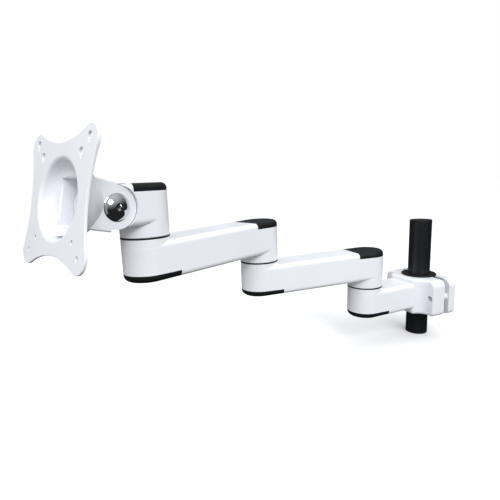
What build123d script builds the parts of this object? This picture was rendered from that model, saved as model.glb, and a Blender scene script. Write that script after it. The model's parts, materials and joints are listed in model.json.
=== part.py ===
from build123d import *
import os
from math import atan2, cos, radians, sin

# Pole-clamp monitor arm. Millimetres, +Z up.
# Origin: the pole's axis at its lower end. -X points from the pole towards the first swivel joint.
# Three swivel joints (shoulder, elbow, wrist) stack upwards, one level apart. Every arm is drawn in
# its own frame: the origin on its outboard joint's split plane, +X towards the joint nearer the pole.

# ---- pole and layout ----
POLE_R = 17.5
POLE_WALL = 2.0
POLE_BELOW = 100.0            # pole below the shoulder joint's split plane
POLE_ABOVE = 97.0
POLE_CAP_T = 2.5
PLUG_DEPTH = 6.5
PLUG_SEAT = 1.0               # the tube is bored out this far below the plug
PLUG_SEAT_WALL = 1.7
SHOULDER_REACH = 116.0        # pole axis to shoulder axis
ARM_SPACING = 178.0           # axis to axis on both arms
LEVEL = 58.0                  # height from one joint's split plane to the next
REAR_ARM_TURN = -6.0          # angles from +X, as the arm stands at rest
FRONT_ARM_TURN = 20.6
HEAD_TURN = 206.6
SCREEN_TILT = 13.0

# ---- arm castings ----
ARM_R = 27.0                  # half width, and the radius of both ends
COLLAR_R = 26.9
TOP_OUT, TOP_IN = -5.0, 0.0   # top of the bar above the outboard and the inboard joint
BOTTOM_OUT, BOTTOM_IN = -48.4, -44.4
TOP_ROUND = 6.0
BOTTOM_ROUND = 6.5
EDGE_ROUND = 0.6
POCKET_R = 21.5
CAP_REACH = 27.0              # from the joint axis to the cap's straight end
CAP_DEPTH = 8.6
COVER_REACH = 27.5
COVER_TOP = -40.2
COVER_DEPTH = 5.2
CORE_HALF_W = 21.0
CORE_TOP, CORE_BOTTOM = -9.5, -38.0
CORE_ROUND = 4.0
SHELL = 2.6                   # wall of the moulded caps and covers
FIT = 0.15                    # gap all round a moulded plug
CUT = 1.0                     # how far a cutting body overruns what it cuts

# ---- swivel joint hardware ----
RING_T = 1.8
FACE_GAP = 0.1                # between faces that turn on each other
JOINT_WALL = 13.0             # wall that the pivot bolt passes through, above and below the split
BOLT_R = 6.0
RUNNING = 0.05
BUSH_R = 9.0
BUSH_FLANGE_R = 13.0
BUSH_FLANGE_T = 1.5
HEX_R = 11.0                  # across corners / 2
BOLT_HEAD_T = 7.5
NUT_T = 10.0
NUT_COLLAR_R = 8.5
THREAD_TAIL = 2.0             # bolt beyond the nut, and the height of the nut's collar
WASHER_R = 12.0
WASHER_T = 2.5
SPRING_R = 11.5
SPRING_T = 1.8
SPRING_TOP_R = 8.2

# ---- pole clamp ----
JAW_TOP, JAW_BOTTOM = 3.0, -56.0
JAW_HALF_LENGTH = 53.5
JAW_FACE = -22.0              # outer face of the arm-side jaw's wings
JAW_SPLIT = 1.0
JAW_BLEND = 16.0              # hollow curve from the arm's side to the wing's face
JAW_EDGE = 4.0
JAW_TOP_CORNER, JAW_BOTTOM_CORNER = 11.0, 7.0
HUB_CORNER = 5.0
BAR_RISE_TOP, BAR_RISE_BOTTOM = 1.0, 1.5   # how much the clamp arm's top and bottom climb towards the pole
REAR_INNER, REAR_OUTER = 11.0, 27.0
REAR_TOP_CORNER, REAR_BOTTOM_CORNER = 13.0, 7.0
LINER_R = 20.0
LINER_FLANGE_R = 27.7
LINER_FLANGE_T = 2.0
LINER_SPLIT_GAP = 2.0
CLAMP_SCREW_Y = 45.5
CLAMP_SCREW_Z = -26.5
CLAMP_SCREW_R = 4.0
CLAMP_SCREW_END = -14.0
CLAMP_HEAD_R, CLAMP_HEAD_T = 6.5, 8.0
CLAMP_SEAT = REAR_OUTER - CLAMP_HEAD_T - 0.5   # the head lies half a millimetre deep in the rear jaw
CLAMP_SOCKET_R, CLAMP_SOCKET_DEPTH = 3.6, 4.5
CLAMP_HOLE_R = 4.5
CLAMP_BOSS_R = 5.5
CLAMP_THREAD_DEPTH = 3.0
STRIP_T = 8.0                 # rubber strips in the gap between the jaws
STRIP_INNER, STRIP_OUTER = 20.8, 39.0
STRIP_TOP, STRIP_BOTTOM = 1.0, -20.0

# ---- swivel head ----
HEAD_BOTTOM, HEAD_TOP = 14.5, 58.4
TILT_REACH, TILT_HEIGHT = 45.8, 35.7   # the tilt axis from the wrist axis and its split plane
HEAD_CAP_REACH = 27.4
HEAD_CAP_SKIRT = 4.0
HEAD_SKIN_CUT = 22.3
HEAD_INNER_CUT = 25.4
EAR_ROOM = 0.3
BARREL_R = 22.0
BARREL_HALF_W = 18.2
GROOVE_R, GROOVE_HALF_W = 18.6, 15.2
NECK_HALF_H = 14.0

# ---- screen plate and fork ----
PLATE_T = 2.6
PLATE_REACH = 47.0            # plate's front face from the tilt axis
VESA_OUTER, VESA_INNER = 50.0, 37.5
LOBE_R = 14.3
WAIST_SIDE, WAIST_TOP = 55.8, 52.3
SCREW_HOLE_R = 2.6
KEY_HEAD_R, KEY_SLOT_R, KEY_RISE = 3.8, 2.3, 4.0
FUNNEL_R, FUNNEL_DEPTH = 36.8, 12.5
FUNNEL_FLOOR_R = 26.5
LIP_SPREAD, LIP_DEPTH = 4.0, 3.0
# outer side of the funnel: radius and depth behind the plate's front face
CONE_ROOT_R = 47.0
CONE_NECK = (42.0, -6.5)
CONE_BELLY = (37.2, -17.0)
CONE_WAIST = (31.3, -24.5)
CONE_BACK = (24.6, -32.5)
EAR_INNER, EAR_OUTER = 19.4, 24.0
EAR_R = 21.8
BOX_INNER, BOX_OUTER = 22.8, 24.8
BOX_CORNER = 2.0
WINDOW_CHAMFER = 1.4
BOX_END = 44.4                # depth at which the top and bottom walls stop
DRAIN_PLACE = -35.0           # slot through the bottom of the funnel
DRAIN_HALF_LENGTH, DRAIN_HALF_WIDTH = 12.0, 2.3

# ---- tilt pivot ----
TILT_BOLT_R = 5.0
DOME_R, DOME_H = 13.9, 6.5
DOME_SOCKET_R, DOME_SOCKET_DEPTH = 3.5, 4.0
TILT_WASHER_R, TILT_WASHER_T = 16.0, 1.0
TILT_BUSH_R = 7.5
TILT_NUT_R, TILT_NUT_T = 10.0, 8.0
TILT_FLAT_R, TILT_FLAT_T = 11.0, 1.6

HEX_SIDES = 6
TINY = 0.001


def drum(radius, z_low, z_high, x=0.0, y=0.0):
    """Upright cylinder between two heights."""
    return Pos(x, y, (z_low + z_high) / 2) * Cylinder(radius, z_high - z_low)


def block(x_low, x_high, y_low, y_high, z_low, z_high):
    """Box between two corners."""
    centre = Pos((x_low + x_high) / 2, (y_low + y_high) / 2, (z_low + z_high) / 2)
    return centre * Box(x_high - x_low, y_high - y_low, z_high - z_low)


def cross_drum(radius, y_low, y_high, x, z):
    """Cylinder lying along Y, centred on (x, z)."""
    return Pos(x, (y_low + y_high) / 2, z) * Rot(90, 0, 0) * Cylinder(radius, y_high - y_low)


def long_drum(radius, x_low, x_high, y, z):
    """Cylinder lying along X, centred on (y, z)."""
    return Pos((x_low + x_high) / 2, y, z) * Rot(0, 90, 0) * Cylinder(radius, x_high - x_low)


def hexagon(radius, z_low, z_high):
    """Upright hexagonal prism."""
    return Pos(0, 0, z_low) * extrude(RegularPolygon(radius, HEX_SIDES), z_high - z_low)


def rounded_bar(length, top_start, top_end, bottom_start, bottom_end):
    """Bar with round ends about x = 0 and x = length, its top and bottom sloping, its long edges rounded."""
    far = length + ARM_R
    slope_top = (top_end - top_start) / length
    slope_bottom = (bottom_end - bottom_start) / length
    side = Polyline(
        (-ARM_R, top_start - slope_top * ARM_R),
        (far, top_end + slope_top * ARM_R),
        (far, bottom_end + slope_bottom * ARM_R),
        (-ARM_R, bottom_start - slope_bottom * ARM_R),
        close=True,
    )
    side_prism = extrude(Plane.XZ * make_face(side), ARM_R, both=True)
    plan = Pos(length / 2, 0) * Rectangle(length, 2 * ARM_R) + Circle(ARM_R) + Pos(length, 0) * Circle(ARM_R)
    height = abs(bottom_start) + abs(bottom_end) + abs(top_start) + abs(top_end)
    bar = side_prism & (Pos(0, 0, -height) * extrude(plan, 2 * height))
    top = bar.faces().sort_by(Axis.Z)[-1]
    bar = fillet(top.edges(), TOP_ROUND)
    bottom = bar.faces().sort_by(Axis.Z)[0]
    return fillet(bottom.edges(), BOTTOM_ROUND)


def soft_drum(radius, z_low, z_high, soft_top, x=0.0):
    """Upright cylinder with one edge slightly rounded, for the face at a joint's split."""
    body = drum(radius, z_low, z_high, x)
    face = body.faces().sort_by(Axis.Z)[-1 if soft_top else 0]
    return fillet(face.edges(), EDGE_ROUND)


def outboard_end():
    """Collar of an arm's outboard joint, up to the split plane."""
    return soft_drum(COLLAR_R, CORE_TOP - JOINT_WALL / 2, -RING_T / 2 - FACE_GAP, True)


def outboard_hollow():
    """Pocket above the bottom cover, and the bore for the bush."""
    floor = -RING_T / 2 - FACE_GAP - JOINT_WALL
    return drum(POCKET_R, BOTTOM_OUT - CUT, floor) + drum(BUSH_R, floor - CUT, 0)


def inboard_hollow(x, split, top):
    """Pocket under the top cap, and the pivot bolt's hole."""
    floor = split + RING_T / 2 + JOINT_WALL
    return drum(POCKET_R, floor, top, x) + drum(BOLT_R + RUNNING, split, floor + CUT, x)


def stadium(radius, x_low, x_high, z_low, z_high):
    """Upright prism: a round end of the radius about x = 0, then straight sides to the square end."""
    reach = x_high if abs(x_high) > abs(x_low) else x_low
    outline = Circle(radius) + Pos(reach / 2, 0) * Rectangle(abs(reach), 2 * radius)
    return Pos(0, 0, z_low) * extrude(outline, z_high - z_low)


def moulded_lid(outer, inner_end, z_inside, z_skirt):
    """Snap-on cap or cover: the outer shape hollowed to z_inside, with a round skirt that plugs the pocket."""
    inward = 1 if z_skirt > z_inside else -1
    low, high = sorted((z_inside, z_inside + 2 * inward * CAP_DEPTH))
    shell = outer - stadium(ARM_R - SHELL, 0, inner_end, low, high)
    low, high = sorted((z_inside - inward * SHELL / 4, z_skirt))
    skirt_r = POCKET_R - FIT
    return shell + (drum(skirt_r, low, high) - drum(skirt_r - SHELL / 2, low - CUT, high + CUT))


def arm_parts():
    """One arm: its casting, top cap and bottom cover, in the arm's own frame."""
    bar = rounded_bar(ARM_SPACING, TOP_OUT, TOP_IN, BOTTOM_OUT, BOTTOM_IN)
    cap_edge = ARM_SPACING - CAP_REACH
    cap_rim = TOP_IN - CAP_DEPTH
    far = ARM_SPACING + 2 * ARM_R
    cap_zone = block(cap_edge, far, -far, far, cap_rim, far)
    cover_zone = block(-far, COVER_REACH, -far, far, -far, COVER_TOP)
    split = -LEVEL
    neck_top = BOTTOM_IN + BOTTOM_ROUND + SHELL
    neck = soft_drum(COLLAR_R, split + RING_T / 2, neck_top, False, ARM_SPACING)
    core = block(POCKET_R / 2, ARM_SPACING - POCKET_R / 2, -CORE_HALF_W, CORE_HALF_W, CORE_BOTTOM, CORE_TOP)
    core = fillet(core.edges().filter_by(Axis.X), CORE_ROUND)
    core = core - drum(BUSH_FLANGE_R + SHELL, -JOINT_WALL - RING_T, 0)
    core = core - drum(POCKET_R, split, split + JOINT_WALL, ARM_SPACING)
    casting = bar + outboard_end() + neck - cap_zone - cover_zone
    casting = casting - core - outboard_hollow() - inboard_hollow(ARM_SPACING, split, far)
    turned = Pos(ARM_SPACING, 0, 0)
    cap_outer = turned.inverse() * (bar & cap_zone)
    cap = turned * moulded_lid(cap_outer, SHELL - CAP_REACH, TOP_IN - SHELL, cap_rim - CAP_DEPTH)
    cover = moulded_lid(bar & cover_zone, COVER_REACH - SHELL, COVER_TOP - COVER_DEPTH, COVER_TOP + CAP_DEPTH)
    return casting, cap, cover


def swivel_hardware():
    """Pieces of one swivel joint about z = 0: what rides on the upper arm, then what stays in the lower one."""
    upper_floor = RING_T / 2 + JOINT_WALL
    lower_floor = -RING_T / 2 - FACE_GAP - JOINT_WALL
    head_low = upper_floor + WASHER_T
    flange_low = lower_floor - BUSH_FLANGE_T
    thrust_top = flange_low - FACE_GAP
    springs_top = thrust_top - WASHER_T
    nut_top = springs_top - 2 * SPRING_T
    nut_low = nut_top - NUT_T
    tail = nut_low - THREAD_TAIL
    bolt = drum(BOLT_R, tail, head_low + CUT) + hexagon(HEX_R, head_low, head_low + BOLT_HEAD_T)
    hole = drum(BOLT_R + RUNNING, tail - CUT, head_low + CUT)
    washers = drum(WASHER_R, upper_floor, head_low) + drum(WASHER_R, springs_top, thrust_top) - hole
    cone = Cone(SPRING_TOP_R, SPRING_R, SPRING_T)
    springs = Pos(0, 0, springs_top - SPRING_T / 2) * Rot(180, 0, 0) * cone
    springs = springs + Pos(0, 0, nut_top + SPRING_T / 2) * cone - hole
    nut = hexagon(HEX_R, nut_low, nut_top) + drum(NUT_COLLAR_R, tail, nut_low) - hole
    ring_low = -RING_T / 2 - FACE_GAP
    ring = drum(ARM_R, ring_low, RING_T / 2 - FACE_GAP) - drum(BUSH_R + FACE_GAP, -RING_T, RING_T)
    bush = drum(BUSH_R, flange_low, ring_low) + drum(BUSH_FLANGE_R, flange_low, lower_floor) - hole
    return {"pivot_bolt": bolt, "washers": washers, "disc_springs": springs, "lock_nut": nut}, {
        "friction_ring": ring,
        "bush": bush,
    }


def jaw_plan():
    """Arm-side jaw seen from above, with the pole at the origin: a hub as wide as the arm, then two wings."""
    wings = Pos((JAW_FACE + JAW_SPLIT) / 2, 0) * Rectangle(JAW_SPLIT - JAW_FACE, 2 * JAW_HALF_LENGTH)
    root_x = JAW_FACE - JAW_BLEND
    flare_half = ARM_R + JAW_BLEND
    flare = Pos((root_x + JAW_SPLIT) / 2, 0) * Rectangle(JAW_SPLIT - root_x, 2 * flare_half)
    for side in (-1, 1):
        flare = flare - Pos(root_x, side * flare_half) * Circle(JAW_BLEND)
    plan = wings + flare
    return fillet(plan.vertices().group_by(Axis.X)[0], HUB_CORNER)


def jaw_end_view(top_corner, bottom_corner):
    """Jaw seen along the arm, as a solid from end to end in X: square below, round at the top corners."""
    middle = (JAW_TOP + JAW_BOTTOM) / 2
    slab = Pos(0, 0, middle) * Box(4 * REAR_OUTER, 2 * JAW_HALF_LENGTH, JAW_TOP - JAW_BOTTOM)
    slab = fillet(slab.edges().filter_by(Axis.X).group_by(Axis.Z)[-1], top_corner)
    return fillet(slab.edges().filter_by(Axis.X).group_by(Axis.Z)[0], bottom_corner)


def is_seam(edge):
    """True on a straight edge where two faces of a jaw already run smoothly into each other."""
    along = edge.tangent_at(0.5)
    upright = abs(along.Z) > 1 - TINY and abs(edge.center().Y) < JAW_HALF_LENGTH - TINY
    return upright or abs(along.X) > 1 - TINY


def soften_jaw(jaw):
    """Round every edge of the arm-side jaw except those on its split face."""
    rims = jaw.edges().filter_by(lambda edge: edge.center().X < JAW_SPLIT - TINY and not is_seam(edge))
    return fillet(rims, JAW_EDGE)


def clamp_screw_places():
    return ((-CLAMP_SCREW_Y, CLAMP_SCREW_Z), (CLAMP_SCREW_Y, CLAMP_SCREW_Z))


def clamp_arm_parts():
    """Clamp arm with its jaw, and its bottom cover, in the shoulder's frame."""
    bar_length = SHOULDER_REACH - ARM_R
    bar = rounded_bar(bar_length, TOP_OUT, TOP_OUT + BAR_RISE_TOP, BOTTOM_OUT, BOTTOM_OUT + BAR_RISE_BOTTOM)
    bar_end = SHOULDER_REACH + JAW_FACE + CUT
    pole_gap = block(bar_end, 3 * SHOULDER_REACH, -ARM_R * 2, ARM_R * 2, -2 * LEVEL, LEVEL)
    jaw = Pos(0, 0, JAW_BOTTOM) * extrude(jaw_plan(), JAW_TOP - JAW_BOTTOM)
    jaw = soften_jaw(jaw & jaw_end_view(JAW_TOP_CORNER, JAW_BOTTOM_CORNER))
    jaw = Pos(SHOULDER_REACH, 0, 0) * jaw
    far = SHOULDER_REACH
    cover_zone = block(-far, COVER_REACH, -far, far, -far, COVER_TOP)
    casting = (bar - pole_gap) + outboard_end() - cover_zone + jaw - outboard_hollow()
    casting = casting - drum(LINER_R + RUNNING, JAW_BOTTOM - CUT, JAW_TOP + CUT, SHOULDER_REACH)
    for y, z in clamp_screw_places():
        thread_end = SHOULDER_REACH + CLAMP_SCREW_END - CLAMP_THREAD_DEPTH
        casting = casting - long_drum(CLAMP_HOLE_R, SHOULDER_REACH - 2 * ARM_R, thread_end + CUT, y, z)
        casting = casting - long_drum(CLAMP_SCREW_R + RUNNING, thread_end, SHOULDER_REACH + ARM_R, y, z)
    cover = moulded_lid(bar & cover_zone, COVER_REACH - SHELL, COVER_TOP - COVER_DEPTH, COVER_TOP + CAP_DEPTH)
    return casting, cover


def rear_jaw():
    """Loose jaw behind the pole, with a round boss about each screw. The pole is at the origin."""
    size = 2 * JAW_HALF_LENGTH
    jaw = jaw_end_view(REAR_TOP_CORNER, REAR_BOTTOM_CORNER) & block(REAR_INNER, REAR_OUTER, -size, size, -size, size)
    back = jaw.faces().sort_by(Axis.X)[-1]
    jaw = fillet(back.edges(), JAW_EDGE)
    jaw = jaw - drum(LINER_R + RUNNING, JAW_BOTTOM - CUT, JAW_TOP + CUT)
    for y, z in clamp_screw_places():
        jaw = jaw + long_drum(CLAMP_BOSS_R, JAW_SPLIT, REAR_INNER + CUT, y, z)
        jaw = jaw - long_drum(CLAMP_SCREW_R + RUNNING, 0, REAR_OUTER + CUT, y, z)
        jaw = jaw - long_drum(CLAMP_HEAD_R + FIT, CLAMP_SEAT, REAR_OUTER + CUT, y, z)
    return jaw


def gap_strips():
    """Two rubber strips on the rear jaw that close the upper part of the gap. The pole is at the origin."""
    strips = []
    for low, high in ((-STRIP_OUTER, -STRIP_INNER), (STRIP_INNER, STRIP_OUTER)):
        strips.append(block(REAR_INNER - STRIP_T, REAR_INNER, low, high, STRIP_BOTTOM, STRIP_TOP))
    return Compound(children=strips)


def clamp_screws():
    """Two socket-head screws, heads in the rear jaw."""
    screws = []
    top = CLAMP_SEAT + CLAMP_HEAD_T
    for y, z in clamp_screw_places():
        screw = long_drum(CLAMP_SCREW_R, CLAMP_SCREW_END, CLAMP_SEAT + CUT, y, z)
        screw = screw + long_drum(CLAMP_HEAD_R, CLAMP_SEAT, top, y, z)
        socket = Pos(top - CLAMP_SOCKET_DEPTH, y, z) * Rot(0, 90, 0)
        screws.append(screw - socket * extrude(RegularPolygon(CLAMP_SOCKET_R, HEX_SIDES), CLAMP_SOCKET_DEPTH + CUT))
    return Compound(children=screws)


def liner_halves():
    """Split plastic sleeve between the pole and the jaws, with a flange on top. The pole is at the origin."""
    flange_low = JAW_TOP + FACE_GAP
    flange = drum(LINER_FLANGE_R, flange_low, flange_low + LINER_FLANGE_T)
    flange = fillet(flange.edges().sort_by(Axis.Z)[-1], EDGE_ROUND)
    sleeve = drum(LINER_R, JAW_BOTTOM + CUT, flange_low + CUT) + flange
    sleeve = sleeve - drum(POLE_R + RUNNING, JAW_BOTTOM, JAW_TOP + 2 * LINER_FLANGE_T)
    middle = (JAW_SPLIT + REAR_INNER) / 2
    size = 2 * LEVEL
    front = sleeve - block(middle - LINER_SPLIT_GAP / 2, size, -size, size, -size, size)
    rear = sleeve - block(-size, middle + LINER_SPLIT_GAP / 2, -size, size, -size, size)
    return front, rear


def head_casting():
    """Swivel head in the wrist's frame, +X towards the screen: round back, pocket for the fork, tilt barrel."""
    bar = rounded_bar(TILT_REACH, HEAD_TOP, HEAD_TOP, HEAD_BOTTOM, HEAD_BOTTOM)
    cap_rim = HEAD_TOP - CAP_DEPTH
    far = 3 * ARM_R
    cap_zone = block(-far, HEAD_CAP_REACH, -far, far, cap_rim, far)
    neck = soft_drum(COLLAR_R, RING_T / 2, HEAD_BOTTOM + BOTTOM_ROUND + SHELL, False)
    spigot = stadium(ARM_R - SHELL - FIT, 0, HEAD_CAP_REACH + CUT, cap_rim - CUT, HEAD_TOP - SHELL - FIT)
    body = bar + neck - cap_zone + spigot
    fork_room = EAR_OUTER + EAR_ROOM
    body = body - cross_drum(HEAD_SKIN_CUT, -far, far, TILT_REACH, TILT_HEIGHT)
    body = body - cross_drum(HEAD_INNER_CUT, -fork_room, fork_room, TILT_REACH, TILT_HEIGHT)
    body = body - block(TILT_REACH - CUT, 3 * far, -far, far, -far, far)
    waist = block(
        TILT_REACH - HEAD_INNER_CUT - 2 * CUT, TILT_REACH - BARREL_R / 2, -BARREL_HALF_W, BARREL_HALF_W,
        TILT_HEIGHT - NECK_HALF_H, TILT_HEIGHT + NECK_HALF_H,
    )
    barrel = cross_drum(GROOVE_R, -GROOVE_HALF_W, GROOVE_HALF_W, TILT_REACH, TILT_HEIGHT)
    for low, high in ((-BARREL_HALF_W, -GROOVE_HALF_W), (GROOVE_HALF_W, BARREL_HALF_W)):
        barrel = barrel + cross_drum(BARREL_R, low, high, TILT_REACH, TILT_HEIGHT)
    body = body + waist + barrel - inboard_hollow(0, 0, far)
    body = body - cross_drum(TILT_BUSH_R, -far, far, TILT_REACH, TILT_HEIGHT)
    cap = moulded_lid(bar & cap_zone, HEAD_CAP_REACH + CUT, HEAD_TOP - SHELL, cap_rim - HEAD_CAP_SKIRT)
    return body, cap


def lobe_touch(waist):
    """Where the hollow edge through the waist point runs smoothly into a lobe: steps across and along it."""
    step = waist - VESA_OUTER
    hollow_r = (VESA_OUTER ** 2 + step ** 2 - LOBE_R ** 2) / (2 * (LOBE_R - step))
    lean = atan2(VESA_OUTER, step + hollow_r)
    return VESA_OUTER - LOBE_R * sin(lean), VESA_OUTER + LOBE_R * cos(lean)


def plate_outline():
    """Screen plate: four round lobes about the outer screw holes, joined by hollow edges. X is up."""
    top_y, top_x = lobe_touch(WAIST_TOP)
    side_x, side_y = lobe_touch(WAIST_SIDE)
    corner = VESA_OUTER + LOBE_R * cos(radians(45))
    half = [
        ThreePointArc((top_x, -top_y), (WAIST_TOP, 0), (top_x, top_y)),
        ThreePointArc((top_x, top_y), (corner, corner), (side_x, side_y)),
        ThreePointArc((side_x, side_y), (0, WAIST_SIDE), (-side_x, side_y)),
        ThreePointArc((-side_x, side_y), (-corner, corner), (-top_x, top_y)),
    ]
    return make_face(half + [Rot(0, 0, 180) * edge for edge in half])


def funnel_void():
    """Round funnel in the plate's front face: a rolled lip, then a bowl that runs out flat into its floor."""
    lip = TangentArc((FUNNEL_R + LIP_SPREAD, 0), (FUNNEL_R, -LIP_DEPTH), tangent=(-1, 0))
    bowl = TangentArc((FUNNEL_FLOOR_R, -FUNNEL_DEPTH), (FUNNEL_R, -LIP_DEPTH), tangent=(1, 0))
    rest = Polyline(
        (FUNNEL_FLOOR_R, -FUNNEL_DEPTH),
        (0, -FUNNEL_DEPTH),
        (0, CUT),
        (FUNNEL_R + LIP_SPREAD, CUT),
        (FUNNEL_R + LIP_SPREAD, 0),
    )
    return revolve(Plane.XZ * make_face([lip, bowl, rest]), Axis.Z)


def cone_back():
    """Back of the funnel: a hollow flare off the plate, a full round belly, then a cone down to the fork."""
    root = (CONE_ROOT_R, -PLATE_T)
    flare = TangentArc(root, CONE_NECK, tangent=(-1, 0))
    belly = ThreePointArc(CONE_NECK, CONE_BELLY, CONE_WAIST)
    rest = Polyline(CONE_WAIST, CONE_BACK, (0, CONE_BACK[1]), (0, -PLATE_T / 2), (CONE_ROOT_R, -PLATE_T / 2), root)
    return revolve(Plane.XZ * make_face([flare, belly, rest]), Axis.Z)


def fork():
    """Box of two ears and two walls behind the plate. Z is the plate's outward normal, X its up direction."""
    depth = PLATE_REACH
    solid = block(-BOX_OUTER, BOX_OUTER, -EAR_OUTER, EAR_OUTER, -BOX_END, -FUNNEL_DEPTH)
    solid = fillet(solid.edges().filter_by(Axis.Z), BOX_CORNER)
    ear_bar = block(-EAR_R, EAR_R, -EAR_OUTER, EAR_OUTER, -depth, -BOX_END + 2 * CUT)
    disc = cross_drum(EAR_R, -EAR_OUTER, EAR_OUTER, 0, -depth)
    return solid + ear_bar + disc


def screw_holes():
    """Round holes below, keyholes above, on both square patterns."""
    cuts = []
    for half in (VESA_OUTER, VESA_INNER):
        for side in (-half, half):
            slot = Pos(half + KEY_RISE / 2, side) * SlotCenterToCenter(KEY_RISE, 2 * KEY_SLOT_R)
            key = slot + Pos(half + KEY_RISE, side) * Circle(KEY_HEAD_R)
            cuts.append(Pos(0, 0, -2 * PLATE_T) * extrude(key, 3 * PLATE_T))
            cuts.append(drum(SCREW_HOLE_R, -2 * PLATE_T, PLATE_T, -half, side))
    return cuts


def screen_plate():
    """Plate, funnel and fork, one casting. Local Z is the outward normal, X up, Y to one side."""
    plate = Pos(0, 0, -PLATE_T) * extrude(plate_outline(), PLATE_T)
    plate = fillet(plate.edges().group_by(Axis.Z)[-1] + plate.edges().group_by(Axis.Z)[0], EDGE_ROUND)
    body = plate + cone_back() + fork()
    far = 3 * PLATE_REACH
    tunnel = block(-BOX_INNER, BOX_INNER, -EAR_INNER, EAR_INNER, -far, 0)
    mouth_size = 2 * (BOX_INNER + WINDOW_CHAMFER), 2 * (EAR_INNER + WINDOW_CHAMFER)
    mouth = Pos(0, 0, -FUNNEL_DEPTH) * extrude(Rectangle(*mouth_size), -WINDOW_CHAMFER, taper=45)
    body = body - funnel_void() - tunnel - mouth
    body = body - cross_drum(TILT_BOLT_R + RUNNING, -far, far, 0, -PLATE_REACH)
    drain = extrude(Pos(DRAIN_PLACE, 0) * Ellipse(DRAIN_HALF_WIDTH, DRAIN_HALF_LENGTH), -far)
    body = body - Pos(0, 0, -LIP_DEPTH) * drain
    for cut in screw_holes():
        body = body - cut
    return body


def tilt_bolt():
    """Dome-headed bolt across the fork. Its axis is local Y, the head at +Y."""
    sphere_r = (DOME_R ** 2 + DOME_H ** 2) / (2 * DOME_H)
    dome = Pos(0, 0, EAR_OUTER + DOME_H - sphere_r) * Sphere(sphere_r)
    dome = dome & drum(DOME_R + CUT, EAR_OUTER, EAR_OUTER + DOME_H + CUT)
    end = -EAR_OUTER - TILT_FLAT_T - TILT_NUT_T - THREAD_TAIL
    bolt = dome + drum(TILT_BOLT_R, end, EAR_OUTER + CUT)
    socket_low = EAR_OUTER + DOME_H - DOME_SOCKET_DEPTH
    bolt = bolt - hexagon(DOME_SOCKET_R, socket_low, EAR_OUTER + 2 * DOME_H)
    return Rot(-90, 0, 0) * bolt


def tilt_stack():
    """Nut, flat washer, friction washers and bush of the tilt pivot, along local Y."""
    hole = drum(TILT_BOLT_R + RUNNING, -3 * EAR_OUTER, 3 * EAR_OUTER)
    flat_low = -EAR_OUTER - TILT_FLAT_T
    nut = hexagon(TILT_NUT_R, flat_low - TILT_NUT_T, flat_low) - hole
    flat = drum(TILT_FLAT_R, flat_low, -EAR_OUTER) - hole
    inner = EAR_INNER - TILT_WASHER_T
    friction = drum(TILT_WASHER_R, inner, EAR_INNER) + drum(TILT_WASHER_R, -EAR_INNER, -inner) - hole
    bush = drum(TILT_BUSH_R, -BARREL_HALF_W, BARREL_HALF_W) - hole
    turn = Rot(-90, 0, 0)
    return {
        "tilt_lock_nut": turn * nut,
        "tilt_washer": turn * flat,
        "tilt_friction_washers": turn * friction,
        "tilt_bush": turn * bush,
    }


def pole_parts():
    """Steel tube, bored out at the top for the plug of its flat cap."""
    length = POLE_BELOW + POLE_ABOVE
    rim = length - POLE_CAP_T
    plug_low = rim - PLUG_DEPTH
    plug_r = POLE_R - PLUG_SEAT_WALL
    tube = drum(POLE_R, 0, rim) - drum(POLE_R - POLE_WALL, -CUT, rim) - drum(plug_r, plug_low - PLUG_SEAT, rim + CUT)
    disc = drum(POLE_R, rim, length)
    disc = fillet(disc.edges().sort_by(Axis.Z)[-1], EDGE_ROUND)
    return tube, disc + drum(plug_r, plug_low, rim)


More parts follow.
